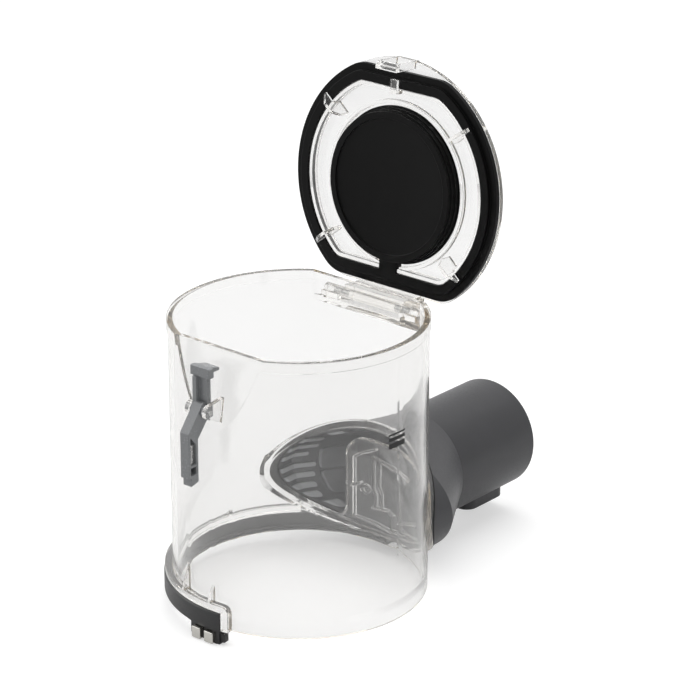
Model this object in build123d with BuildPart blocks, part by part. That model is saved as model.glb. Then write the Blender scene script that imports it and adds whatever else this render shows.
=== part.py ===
from build123d import *
from math import cos, degrees, radians, sin, sqrt, tan
import os

os.makedirs("parts", exist_ok=True)

# Sizes are in millimetres and angles in degrees. The origin is the centre of the open
# base mouth. +Z runs up the bin axis to the lid, +Y points at the hinge and the inlet
# tube, and -Y points at the latch. Angles round the bin are measured from +X.

# Bin shell
bin_height = 123.0
bin_radius = 54.5
bin_wall = 2.2
rim_proud = 0.5
rim_height = 4.6
hinge_flat_depth = 9.3
hinge_flat_corner = 9.0
pocket_depth = 10.8
latch_flat_depth = 5.3
latch_flat_slope = 8.75
mouth_seat_depth = 5.0
mouth_seat_step = 1.0
mouth_seat_taper = 3.0

# Lid hinge
hinge_set_out = 4.0
hinge_drop = 8.0
hinge_barrel_radius = 2.3
hinge_pin_radius = 1.0
hinge_pin_bite = 4.0
lid_barrel_half = 16.6
lid_arm_thickness = 5.5
ear_width = 9.0
lid_open_angle = 95.0

# Clearances
pin_clearance = 0.05
side_clearance = 0.4
seat_clearance = 0.3

# Inlet duct
tube_radius = 24.8
tube_height = 27.8
tube_reach = 77.0
tube_edge = 0.8
duct_wall = 2.5
socket_depth = 34.0
shoulder_step = 1.6
flare_set_out = 25.5
flare_set_in = 9.5
saddle_side_inset = 7.3
saddle_half_height = 26.0
saddle_height = 28.8
flange_thickness = 2.2
seal_thickness = 0.6

# Air port through the bin wall and the oval flange round it
flange_side_margin = 0.8
flange_top_margin = 1.5
flange_width = 3.5
seal_inset = 0.8
port_edge_out = 16.0
port_corner = 8.0
sill_corner = 7.0
panel_top = 48.0
port_sill = 8.6
port_lip_width = 1.1
port_lip_height = 0.8

# Ribs on the clear panel beside the port, as runs of points in x and z
panel_rib_thickness = 1.0
panel_rib_height = 1.9
panel_rib_runs = (
    ((-14.2, 9.6), (-14.2, 37.6), (-11.0, 39.8), (-2.4, 43.6)),
    ((-15.6, 23.6), (-10.4, 26.0)),
    ((-4.0, 39.4), (-4.0, 24.0), (-2.6, 21.4), (-2.6, 15.8)),
    ((-0.8, 38.4), (-0.8, 25.6), (0.9, 22.6), (0.9, 16.2)),
    ((-4.6, 39.4), (9.6, 36.9), (21.0, 36.6)),
    ((-4.7, 15.4), (5.4, 16.4), (7.4, 14.6), (7.7, 6.6)),
    ((12.8, 36.9), (12.8, 7.4)),
    ((12.8, 13.2), (29.0, 19.2)),
    ((-15.0, 9.2), (6.7, 7.2), (29.0, 12.2)),
)
panel_boss_x = -8.4
panel_boss_z = 23.0
panel_boss_radius = 2.4

# Fins and pads inside the flare of the duct, as start y, end y and height
finger_height = 1.9
finger_round_ratio = 2.1
finger_proud = 1.3
finger_rows = (
    (36.0, 52.0, 41.2),
    (36.0, 52.8, 36.8),
    (36.0, 50.4, 32.6),
    (36.0, 53.6, 27.0),
    (36.0, 52.4, 22.8),
    (36.0, 51.2, 18.8),
    (36.0, 50.4, 15.4),
    (44.0, 56.0, 11.8),
    (50.0, 54.0, 46.0),
    (57.0, 62.0, 45.6),
    (64.0, 69.0, 44.0),
)
pad_start_y = 55.0
pad_end_y = 65.5
pad_corner = 1.6
pad_heights = ((15.0, 23.6), (24.6, 34.6))

# Boss and wire trunk under the tube
boss_half_width = 10.0
boss_length = 27.0
boss_set_back = 1.5
boss_corner = 5.5
keyway_half_width = 7.0
keyway_floor = 1.8
keyway_length = 21.5
trunk_half_width = 4.0
trunk_wall = 0.8

# Wire cover round the base
cover_height = 8.3
cover_thickness = 3.7
cover_wall = 1.4
cover_floor = 0.7
cover_edge = 0.6
cover_start_angle = 276.0
cover_end_angle = 102.0
tail_end_angle = 85.0
tongue_start_angle = 258.5
tongue_drop = 5.8
tongue_thickness = 3.1
post_start_angle = 272.4
foot_end_angle = 278.4
foot_top_drop = 0.8
foot_drop = 4.6
cut_overlap = 1.0

# Clear border that frames the wire cover, and the gussets that stand on it
border_height = 11.6
border_thickness = 3.3
border_start_angle = 131.0
border_end_width = 3.6
border_corner = 3.3
gusset_thickness = 1.6
gusset_angles_and_tops = ((167.0, 15.5), (253.0, 26.5), (270.0, 21.0))

# Contacts, wires and wand socket
contact_width = 4.8
contact_height = 5.0
contact_proud = 2.4
contact_depth = 2.2
contact_edge = 0.5
contact_drop = 0.6
contact_left_out = 5.6
contact_spacing = 7.0
wire_radius = 0.45
wire_height = 1.5
wire_turn_radius = 3.0
wire_spacing = 2.0
socket_pin_radius = 0.8
socket_pin_spacing = 7.0
socket_pin_length = 8.0
socket_block_depth = 5.0
socket_block_height = 3.6

# Lid
lid_overhang = 0.1
lid_flat_overhang = 1.3
lid_plate = 2.2
spigot_wall = 1.6
spigot_drop = 0.6
gasket_inset = 0.4
gasket_band = 7.3
gasket_depth = 2.4
gasket_corner = 14.0
lip_inset = 3.2
lip_drop = 1.6
cup_margin = 22.2
cup_height = 5.8
cup_dish = 1.2
cup_wall = 2.2
cup_rim_width = 3.0
cup_rim_proud = 0.8
cup_step = 0.6
cup_step_count = 3
cup_tab_half_width = 4.7
cup_ring_gap = 1.0
cup_ring_wall = 1.6
cup_ring_height = 2.2
fin_thickness = 1.5
fin_side_gap = 1.3
fin_length = 12.0
fin_drop = 6.5
fin_tip = 2.6
fin_angles = (40.0, 140.0, 220.0, 320.0)
clip_half_width = 1.8
clip_depth = 3.4
clip_reach = 4.6
clip_thickness = 1.6

# Lid catch
catch_half_width = 5.6
catch_leg = 1.2
catch_thickness = 3.2
catch_drop = 10.4
catch_bar = 2.6
catch_ramp = 1.5

# Latch lever
lever_pivot_set_out = 6.0
lever_pivot_drop = 23.5
lever_pin_radius = 1.0
lever_hub_radius = 2.6
lever_head_half_width = 5.2
lever_head_drop = 9.3
lever_nose_half_width = 4.0
lever_nose_height = 2.4
lever_nose_bite = 1.8
lever_arm_half_width = 3.3
lever_arm_set_out = 3.0
lever_plate_thickness = 2.0
lever_rib_width = 2.2
lever_rib_depth = 4.0
lever_bend_rise = 3.5
lever_plate_drop = 2.7
lever_pad_half_width = 2.4
lever_pad_set_out = 15.5
lever_pad_depth = 5.5
lever_pad_drop = 7.5
lever_pad_length = 19.8
lever_toe = 3.7
lever_skin = 1.2
lever_slot_drop = 2.0
lever_slot_rise = 5.6
lever_window_height = 3.4
lever_window_rise = 1.2
cheek_thickness = 2.0
cheek_drop = 7.0
cheek_rise = 4.5
cheek_nose_radius = 3.0

# Leaf spring in the slot of the pad
spring_width = 2.0
spring_thickness = 0.6
spring_gap = 1.2

# Places that follow from the sizes
rim_radius = bin_radius + rim_proud
inner_radius = bin_radius - bin_wall
hinge_flat_y = bin_radius - hinge_flat_depth
latch_flat_y = bin_radius - latch_flat_depth
pocket_floor = bin_height - pocket_depth
hinge_y = hinge_flat_y + hinge_set_out
hinge_z = bin_height - hinge_drop
ear_start = lid_barrel_half + side_clearance
flange_radius = bin_radius + flange_thickness
saddle_radius = flange_radius + seal_thickness
saddle_half_width = bin_radius - saddle_side_inset
flange_half_width = saddle_half_width + flange_side_margin
flange_half_height = saddle_half_height + flange_top_margin
tube_end_y = bin_radius + tube_reach
flare_start_y = bin_radius + flare_set_out
flare_end_y = bin_radius - flare_set_in
boss_end_y = tube_end_y - boss_set_back
boss_start_y = boss_end_y - boss_length
keyway_start_y = tube_end_y - keyway_length
bore_radius = tube_radius - duct_wall
throat_radius = bore_radius - shoulder_step
saddle_bottom = saddle_height - saddle_half_height
trunk_bottom = wire_height - wire_radius - trunk_wall - pin_clearance
cover_inner = bin_radius + seat_clearance
cover_radius = bin_radius + cover_thickness
groove_radius = cover_radius - cover_wall
tail_height = saddle_bottom - seat_clearance
tongue_radius = bin_radius + tongue_thickness
inner_wire_track = cover_inner + wire_radius + pin_clearance
outer_wire_track = groove_radius - wire_radius - pin_clearance
socket_block_y = keyway_start_y - socket_block_depth
contact_left_x = -contact_left_out
contact_right_x = contact_spacing - contact_left_out
lid_radius = bin_radius + lid_overhang
lid_hinge_flat = hinge_flat_y + lid_flat_overhang
gasket_radius = lid_radius
gasket_top = seat_clearance + gasket_depth
lip_face = seat_clearance - lip_drop
lid_top = gasket_top + lid_plate
gasket_hinge_flat = hinge_flat_y - gasket_inset
gasket_latch_flat = latch_flat_y + gasket_inset
spigot_in = gasket_band + seat_clearance
cup_radius = lid_radius - cup_margin
cup_face = gasket_top - cup_height
fin_reach = inner_radius - fin_side_gap
fin_inner = fin_reach - fin_length
cup_foot_radius = cup_radius + cup_step * cup_step_count
border_radius = bin_radius + border_thickness
border_root = bin_radius - bin_wall / 2
border_end_start = cover_start_angle + degrees(seat_clearance / bin_radius)
border_end_angle = border_end_start + degrees(border_end_width / border_radius)
far = 4 * rim_radius
lever_pivot_y = -bin_radius - lever_pivot_set_out
lever_pivot_z = bin_height - lever_pivot_drop
lever_head_bottom = bin_height - lever_head_drop
lever_arm_y = -bin_radius - lever_arm_set_out
lever_bend_top = lever_pivot_z + lever_bend_rise
lever_plate_bottom = lever_pivot_z - lever_plate_drop
lever_pad_y = -bin_radius - lever_pad_set_out
lever_pad_top = lever_pivot_z - lever_pad_drop
lever_pad_bottom = lever_pad_top - lever_pad_length
lever_slot_top = lever_pad_top - lever_slot_drop
lever_slot_bottom = lever_pad_bottom + lever_slot_rise
cheek_bottom = lever_pivot_z - cheek_drop
cheek_top = lever_pivot_z + cheek_rise

latch_plane = Plane(
    origin=(0, -latch_flat_y, bin_height),
    x_dir=(1, 0, 0),
    z_dir=(0, -cos(radians(latch_flat_slope)), sin(radians(latch_flat_slope))),
)


def latch_wall_y(z):
    """Y of the sloping latch flat at height z."""
    return -latch_flat_y - (bin_height - z) * tan(radians(latch_flat_slope))


catch_inner_y = latch_wall_y(bin_height - catch_drop) - 2 * seat_clearance
catch_outer_y = catch_inner_y - catch_thickness
lever_nose_bottom = bin_height - catch_drop + catch_bar + seat_clearance
lever_head_top = lever_nose_bottom + lever_nose_height
cheek_start = lever_arm_half_width + side_clearance

# The lid is drawn as if closed, on planes parallel to the rim, and stands open.
lid_frame = (
    Location((0, hinge_y, hinge_z))
    * Location((0, 0, 0), (-lid_open_angle, 0, 0))
    * Location((0, -hinge_y, hinge_drop))
)
lid_axis = Axis(Plane(lid_frame).origin, Plane(lid_frame).z_dir)


def lid_level(height):
    """Plane that lies this height over the rim when the lid is shut."""
    return Plane(lid_frame).offset(height)


def lid_section(place):
    """Plane across the hinge at x = place, drawn in closed y and height over the rim."""
    return Plane(lid_frame * Plane.YZ.offset(place).location)


def rim_outline(radius, hinge_flat, latch_flat, corner):
    """Round outline with a flat on the hinge side and one on the latch side."""
    with BuildSketch() as outline:
        Circle(radius)
        with Locations((0, hinge_flat)):
            Rectangle(far, far, align=(Align.CENTER, Align.MIN), mode=Mode.SUBTRACT)
        with Locations((0, -latch_flat)):
            Rectangle(far, far, align=(Align.CENTER, Align.MAX), mode=Mode.SUBTRACT)
        fillet(outline.vertices(), corner)
    return outline.sketch


def hinge_outline(radius, hinge_flat):
    """Round outline with a flat on the hinge side only."""
    with BuildSketch() as outline:
        Circle(radius)
        with Locations((0, hinge_flat)):
            Rectangle(far, far, align=(Align.CENTER, Align.MIN), mode=Mode.SUBTRACT)
        fillet(outline.vertices(), hinge_flat_corner)
    return outline.sketch


def ring_sector(inner, outer, start, end):
    """Flat ring piece from angle start to angle end round the bin axis."""
    with BuildSketch() as sector:
        with BuildLine():
            CenterArc((0, 0), outer, start, end - start)
            CenterArc((0, 0), inner, start, end - start)
            for angle in (start, end):
                Line(Vector(inner, 0).rotate(Axis.Z, angle), Vector(outer, 0).rotate(Axis.Z, angle))
        make_face()
    return sector.sketch


def hinge_side(inset):
    """Space above the pocket on the hinge side of the flat, grown by inset."""
    with BuildPart() as space:
        with BuildSketch(Plane.XY.offset(pocket_floor - inset)):
            Circle(far)
            add(hinge_outline(rim_radius + bin_wall, hinge_flat_y - inset), mode=Mode.SUBTRACT)
        extrude(amount=far)
    return space.part


def latch_side(inset):
    """Space outside the sloping latch flat, grown by inset."""
    with BuildPart() as space:
        with BuildSketch(latch_plane.offset(-inset)):
            Rectangle(far, far)
        extrude(amount=bin_radius)
    return space.part


def saddle_form(tube_section, wall):
    """Flare from the round tube to the oval, and on along the oval to inside the bin."""
    with BuildPart() as form:
        with BuildSketch(Plane.XZ.offset(-flare_start_y)):
            with Locations((0, tube_height)):
                Circle(tube_section)
        with BuildSketch(Plane.XZ.offset(-flare_end_y)):
            with Locations((0, saddle_height)):
                Ellipse(saddle_half_width - wall, saddle_half_height - wall)
        loft(ruled=True)
        with BuildSketch(Plane.XZ.offset(-flare_end_y)):
            with Locations((0, saddle_height)):
                Ellipse(saddle_half_width - wall, saddle_half_height - wall)
        extrude(amount=flare_end_y)
    return form.part


def flange_ring(outer_inset, inner_inset, inner, outer):
    """Oval frame round the air port between two radii round the bin axis."""
    with BuildPart() as ring:
        with BuildSketch(Plane.XZ):
            with Locations((0, saddle_height)):
                Ellipse(flange_half_width - outer_inset, flange_half_height - outer_inset)
                Ellipse(
                    flange_half_width - inner_inset,
                    flange_half_height - inner_inset,
                    mode=Mode.SUBTRACT,
                )
        extrude(amount=-far)
        with BuildSketch(Plane.XY.offset(saddle_bottom)):
            Circle(outer)
            Circle(inner, mode=Mode.SUBTRACT)
        extrude(amount=bin_height, mode=Mode.INTERSECT)
    return ring.part


# Outline of the clear panel that closes the right and the bottom of the oval
panel_corner_points = ((-port_edge_out, panel_top), (-port_edge_out, port_sill))
with BuildSketch() as panel:
    with BuildLine():
        Polyline(
            *panel_corner_points,
            (-far, port_sill),
            (-far, -far),
            (far, -far),
            (far, panel_top),
            close=True,
        )
    make_face()
    for point, corner in zip(panel_corner_points, (port_corner, sill_corner)):
        fillet(panel.vertices().sort_by_distance(point)[0], corner)
panel_outline = panel.sketch

# Clear border that frames the wire cover, with its gussets
with BuildPart() as border:
    with BuildSketch(Plane.XY.offset(seat_clearance)):
        add(ring_sector(border_root, border_radius, border_end_start, border_end_angle))
    extrude(amount=border_height - seat_clearance)
    border_tip = Vector(border_radius, 0, border_height).rotate(Axis.Z, border_end_angle)
    end_edges = border.edges().filter_by(Plane.XY).filter_by(GeomType.LINE)
    fillet(end_edges.sort_by_distance(border_tip)[0], border_corner)
    with BuildSketch(Plane.XY.offset(cover_height + seat_clearance)):
        add(ring_sector(border_root, border_radius, border_start_angle, border_end_start))
    extrude(amount=border_height - cover_height - seat_clearance)
    for angle, top in gusset_angles_and_tops:
        with BuildSketch(Plane(Location((0, 0, 0), (0, 0, angle)) * Plane.XZ.location)):
            with BuildLine():
                Polyline(
                    (border_root, border_height - border_thickness / 2),
                    (border_radius, border_height - border_thickness / 2),
                    (border_radius, border_height),
                    (border_root, top),
                    close=True,
                )
            make_face()
        extrude(amount=gusset_thickness / 2, both=True)

# Space inside the bin, one wall thickness in from the outside
with BuildPart() as cavity:
    with BuildSketch(Plane.XY.offset(-bin_wall)):
        Circle(inner_radius)
    extrude(amount=bin_height + 2 * bin_wall)
    add(hinge_side(bin_wall), mode=Mode.SUBTRACT)
    add(latch_side(bin_wall), mode=Mode.SUBTRACT)
    with BuildSketch(Plane.XY.offset(-bin_wall)):
        Circle(inner_radius + mouth_seat_step)
    extrude(amount=bin_wall + mouth_seat_depth)
    with BuildSketch(Plane.XY.offset(mouth_seat_depth)):
        Circle(inner_radius + mouth_seat_step)
    with BuildSketch(Plane.XY.offset(mouth_seat_depth + 2 * mouth_seat_taper)):
        Circle(inner_radius - mouth_seat_step)
    loft()

# Ribs and boss on the outside of the clear panel beside the port
with BuildPart() as panel_ribs:
    with BuildSketch(Plane.XZ):
        for run in panel_rib_runs:
            with BuildLine():
                Polyline(*run)
            trace(line_width=panel_rib_thickness)
        with Locations((panel_boss_x, panel_boss_z)):
            Circle(panel_boss_radius)
            Circle(panel_boss_radius - panel_rib_thickness, mode=Mode.SUBTRACT)
    extrude(amount=-far)
    with BuildSketch():
        Circle(bin_radius + panel_rib_height)
        Circle(border_root, mode=Mode.SUBTRACT)
    extrude(amount=bin_height, mode=Mode.INTERSECT)

# Raised lip along the edge of the panel, on the inside of the wall
with BuildPart() as port_lip:
    with BuildSketch(Plane.XZ):
        add(panel_outline)
        offset(panel_outline, amount=-port_lip_width, mode=Mode.SUBTRACT)
        with Locations((0, saddle_height)):
            Ellipse(
                flange_half_width - flange_width,
                flange_half_height - flange_width,
                mode=Mode.INTERSECT,
            )
    extrude(amount=-far)
    with BuildSketch():
        Circle(border_root)
        Circle(inner_radius - port_lip_height, mode=Mode.SUBTRACT)
    extrude(amount=bin_height, mode=Mode.INTERSECT)

# Clear bin with the rim, hinge ears, latch cheeks and inlet flange moulded on
with BuildPart() as bin_body:
    with BuildSketch():
        Circle(bin_radius)
    extrude(amount=bin_height)
    add(flange_ring(0, flange_width, border_root, flange_radius))
    add(border.part)
    add(panel_ribs.part)
    with BuildSketch(Plane.XY.offset(bin_height - rim_height)):
        Circle(rim_radius)
    extrude(amount=rim_height)
    add(hinge_side(0), mode=Mode.SUBTRACT)
    add(latch_side(0), mode=Mode.SUBTRACT)
    add(cavity.part, mode=Mode.SUBTRACT)
    with BuildSketch(Plane.XZ):
        with Locations((0, saddle_height)):
            Ellipse(flange_half_width - flange_width, flange_half_height - flange_width)
        add(panel_outline, mode=Mode.SUBTRACT)
    extrude(amount=-flange_radius, mode=Mode.SUBTRACT)
    add(port_lip.part)
    for side in (-1, 1):
        with BuildSketch(Plane.YZ.offset(side * ear_start)):
            with Locations((hinge_y, hinge_z)):
                Circle(hinge_barrel_radius)
            with Locations((hinge_flat_y - bin_wall / 2, pocket_floor - bin_wall / 2)):
                Rectangle(
                    hinge_set_out + hinge_barrel_radius + bin_wall / 2,
                    pocket_depth - hinge_drop + bin_wall / 2,
                    align=(Align.MIN, Align.MIN),
                )
        extrude(amount=side * ear_width)
        with BuildSketch(Plane.YZ.offset(side * cheek_start)):
            with BuildLine():
                Polyline(
                    (latch_wall_y(cheek_bottom) + bin_wall / 2, cheek_bottom),
                    (lever_pivot_y, lever_pivot_z - cheek_nose_radius),
                    (lever_pivot_y, lever_pivot_z + cheek_nose_radius),
                    (latch_wall_y(cheek_top) + bin_wall / 2, cheek_top),
                    close=True,
                )
            make_face()
            with Locations((lever_pivot_y, lever_pivot_z)):
                Circle(cheek_nose_radius)
        extrude(amount=side * cheek_thickness)
    with BuildSketch(Plane.YZ):
        with Locations((hinge_y, hinge_z)):
            Circle(hinge_pin_radius + pin_clearance)
    extrude(amount=ear_start + hinge_pin_bite, both=True, mode=Mode.SUBTRACT)
    with BuildSketch(Plane.YZ):
        with Locations((lever_pivot_y, lever_pivot_z)):
            Circle(lever_pin_radius + pin_clearance)
    extrude(amount=cheek_start + cheek_thickness, both=True, mode=Mode.SUBTRACT)
bin_body.part.label = "bin_body"
export_step(bin_body.part, "parts/bin_body.step")

# Fins and pads that stand on the inner wall of the flare, on the side of the port
with BuildPart() as flare_fins:
    with BuildSketch(Plane.YZ.offset(-saddle_half_width)):
        for start_y, end_y, height in finger_rows:
            with Locations(((start_y + end_y) / 2, height)):
                RectangleRounded(end_y - start_y, finger_height, finger_height / finger_round_ratio)
        for low_z, high_z in pad_heights:
            with Locations(((pad_start_y + pad_end_y) / 2, (low_z + high_z) / 2)):
                RectangleRounded(pad_end_y - pad_start_y, high_z - low_z, pad_corner)
    extrude(amount=saddle_half_width - port_edge_out)
    add(saddle_form(throat_radius + duct_wall / 2, duct_wall / 2), mode=Mode.INTERSECT)
    add(saddle_form(throat_radius - finger_proud, duct_wall + finger_proud), mode=Mode.SUBTRACT)

# Grey inlet duct: wand tube, flared saddle, keyed boss and wire trunk in one moulding
with BuildPart() as inlet_duct:
    with BuildSketch(Plane.XZ.offset(-tube_end_y)):
        with Locations((0, tube_height)):
            Circle(tube_radius)
    extrude(amount=tube_end_y - flare_start_y)
    fillet(inlet_duct.edges().sort_by(Axis.Y)[-1], tube_edge)
    add(saddle_form(tube_radius, 0))
    with BuildSketch():
        with Locations((0, (boss_start_y + boss_end_y) / 2)):
            RectangleRounded(2 * boss_half_width, boss_length, boss_corner)
    extrude(amount=tube_height - bore_radius / 2)
    with BuildSketch(Plane.XZ.offset(-boss_start_y - boss_corner)):
        with Locations((0, trunk_bottom)):
            Rectangle(
                2 * trunk_half_width,
                saddle_bottom + duct_wall - trunk_bottom,
                align=(Align.CENTER, Align.MIN),
            )
    extrude(amount=boss_start_y + boss_corner - bin_radius)
    with BuildSketch(Plane.XZ.offset(-tube_end_y)):
        with Locations((0, tube_height)):
            Circle(bore_radius)
    extrude(amount=socket_depth, mode=Mode.SUBTRACT)
    with BuildSketch(Plane.XZ.offset(-tube_end_y)):
        with Locations((0, tube_height)):
            Circle(throat_radius)
    extrude(amount=tube_end_y - flare_start_y, mode=Mode.SUBTRACT)
    add(saddle_form(throat_radius, duct_wall), mode=Mode.SUBTRACT)
    add(flare_fins.part)
    with BuildSketch(Plane.XY.offset(keyway_floor)):
        with Locations((0, socket_block_y)):
            Rectangle(2 * keyway_half_width, far, align=(Align.CENTER, Align.MIN))
    extrude(amount=tube_height - bore_radius, mode=Mode.SUBTRACT)
    with BuildSketch(Plane.XZ.offset(-socket_block_y)):
        with Locations((0, trunk_bottom + trunk_wall)):
            Rectangle(
                2 * (trunk_half_width - trunk_wall),
                2 * (wire_radius + pin_clearance),
                align=(Align.CENTER, Align.MIN),
            )
    extrude(amount=socket_block_y - bin_radius, mode=Mode.SUBTRACT)
    with BuildSketch(Plane.XY.offset(-bin_height)):
        Circle(saddle_radius)
    extrude(amount=2 * bin_height, mode=Mode.SUBTRACT)
    with BuildSketch(Plane.XY.offset(trunk_bottom)):
        Circle(cover_radius + seat_clearance)
    extrude(amount=saddle_bottom - trunk_bottom, mode=Mode.SUBTRACT)
inlet_duct.part.label = "inlet_duct"
export_step(inlet_duct.part, "parts/inlet_duct.step")

# Rubber seal squeezed between the flange and the saddle
duct_seal = flange_ring(seal_inset, flange_width, flange_radius, saddle_radius)
duct_seal.label = "duct_seal"
export_step(duct_seal, "parts/duct_seal.step")


def contact_block(place, clearance):
    """Contact in the tongue, or with a clearance the slot that it sits in."""
    with BuildPart() as block:
        with BuildSketch(Plane.XZ.offset(tongue_radius + contact_proud)):
            with Locations((place, clearance - contact_drop)):
                Rectangle(
                    contact_width + 2 * clearance,
                    contact_height + 2 * clearance,
                    align=(Align.CENTER, Align.MAX),
                )
        extrude(amount=-contact_proud - contact_depth - clearance)
    return block


# Dark grey wire cover: a grooved half ring with the tongue that carries the contacts
with BuildPart() as wire_cover:
    with BuildSketch():
        add(ring_sector(cover_inner, cover_radius, cover_end_angle, cover_start_angle))
    extrude(amount=cover_height)
    middle_angle = (cover_end_angle + cover_start_angle) / 2
    outer_corner = Vector(cover_radius, 0, cover_height).rotate(Axis.Z, middle_angle)
    chamfer(wire_cover.edges().sort_by_distance(outer_corner)[0], cover_edge)
    with BuildSketch(Plane.XZ):
        with Locations((0, saddle_height)):
            Ellipse(flange_half_width + seat_clearance, flange_half_height + seat_clearance)
    extrude(amount=-far, mode=Mode.SUBTRACT)
    with BuildSketch():
        add(ring_sector(cover_inner, cover_radius, tail_end_angle, cover_end_angle + cut_overlap))
    extrude(amount=tail_height)
    with BuildSketch(Plane.XY.offset(-tongue_drop)):
        add(ring_sector(cover_inner, tongue_radius, tongue_start_angle, cover_start_angle))
        add(ring_sector(cover_inner, cover_radius, post_start_angle, cover_start_angle))
    extrude(amount=tongue_drop + cover_floor)
    with BuildSketch(Plane.XY.offset(-foot_drop)):
        add(ring_sector(cover_inner, tongue_radius, cover_start_angle - cut_overlap, foot_end_angle))
    extrude(amount=foot_drop - foot_top_drop)
    with BuildSketch(Plane.XY.offset(cover_floor)):
        add(ring_sector(border_root, groove_radius, cover_end_angle, cover_start_angle - cut_overlap))
    extrude(amount=cover_height - cover_floor - cover_wall, mode=Mode.SUBTRACT)
    with BuildSketch(Plane.XY.offset(cover_floor)):
        tail_start_angle = tail_end_angle + cut_overlap
        add(ring_sector(border_root, groove_radius, tail_start_angle, cover_end_angle + cut_overlap))
        with Locations((-wire_turn_radius / 2, cover_inner)):
            Rectangle(2 * trunk_half_width, far, align=(Align.CENTER, Align.MIN))
    extrude(amount=tail_height, mode=Mode.SUBTRACT)
    for place in (contact_left_x, contact_right_x):
        add(contact_block(place, pin_clearance).part, mode=Mode.SUBTRACT)
wire_cover.part.label = "wire_cover"
export_step(wire_cover.part, "parts/wire_cover.step")

# Two nickel contacts, each pressed into its slot in the tongue
for name, place in (("contact_left", contact_left_x), ("contact_right", contact_right_x)):
    contact = contact_block(place, 0)
    with contact:
        fillet(contact.edges(), contact_edge)
    contact.part.label = name
    export_step(contact.part, f"parts/{name}.step")

# Two wires that lie in the groove and run on along the trunk to the wand socket
wire_runs = (
    ("wire_left", contact_left_x, inner_wire_track, wire_spacing / 2),
    ("wire_right", contact_right_x, outer_wire_track, -wire_spacing / 2),
)
for name, place, track, run_x in wire_runs:
    turn_x = run_x - wire_turn_radius
    turn_y = sqrt((track + wire_turn_radius) ** 2 - turn_x**2)
    turn_angle = Vector(turn_x, turn_y).get_signed_angle(Vector(1, 0, 0), Vector(0, 0, -1))
    start_angle = 270 + Vector(0, -track).get_signed_angle(Vector(place, -track), Vector(0, 0, 1))
    with BuildPart() as wire:
        with BuildLine(Plane.XY.offset(wire_height)) as route:
            around = CenterArc((0, 0), track, start_angle, turn_angle - start_angle)
            bend = CenterArc((turn_x, turn_y), wire_turn_radius, turn_angle - 180, 180 - turn_angle)
            Line((run_x, turn_y), (run_x, socket_block_y))
        with BuildSketch(Plane(origin=(run_x, socket_block_y, wire_height), z_dir=(0, -1, 0))):
            Circle(wire_radius)
        sweep(path=route.wires()[0])
    wire.part.label = name
    export_step(wire.part, f"parts/{name}.step")

# Black socket block at the inner end of the keyway
socket_pin_z = keyway_floor + socket_block_height / 2
with BuildPart() as socket_block:
    with BuildSketch(Plane.XY.offset(keyway_floor)):
        with Locations((0, socket_block_y)):
            Rectangle(
                2 * (keyway_half_width - pin_clearance),
                socket_block_depth,
                align=(Align.CENTER, Align.MIN),
            )
    extrude(amount=socket_block_height)
    with BuildSketch(Plane.XZ.offset(-keyway_start_y)):
        with Locations((0, socket_pin_z)):
            with GridLocations(socket_pin_spacing, 0, 2, 1):
                Circle(socket_pin_radius + pin_clearance)
    extrude(amount=socket_block_depth, mode=Mode.SUBTRACT)
socket_block.part.label = "socket_block"
export_step(socket_block.part, "parts/socket_block.step")

# Two plated pins that reach out of the block towards the wand
for name, side in (("socket_pin_left", -1), ("socket_pin_right", 1)):
    with BuildPart() as pin:
        with BuildSketch(Plane.XZ.offset(-socket_block_y)):
            with Locations((side * socket_pin_spacing / 2, socket_pin_z)):
                Circle(socket_pin_radius)
        extrude(amount=-socket_block_depth - socket_pin_length)
        chamfer(pin.edges().group_by(Axis.Y)[-1], socket_pin_radius / 2)
    pin.part.label = name
    export_step(pin.part, f"parts/{name}.step")

spigot_outline = rim_outline(
    gasket_radius - spigot_in,
    gasket_hinge_flat - spigot_in,
    gasket_latch_flat - spigot_in,
    gasket_corner - spigot_in,
)
gasket_hole = rim_outline(
    gasket_radius - gasket_band,
    gasket_hinge_flat - gasket_band,
    gasket_latch_flat - gasket_band,
    gasket_corner - gasket_band,
)

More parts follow.
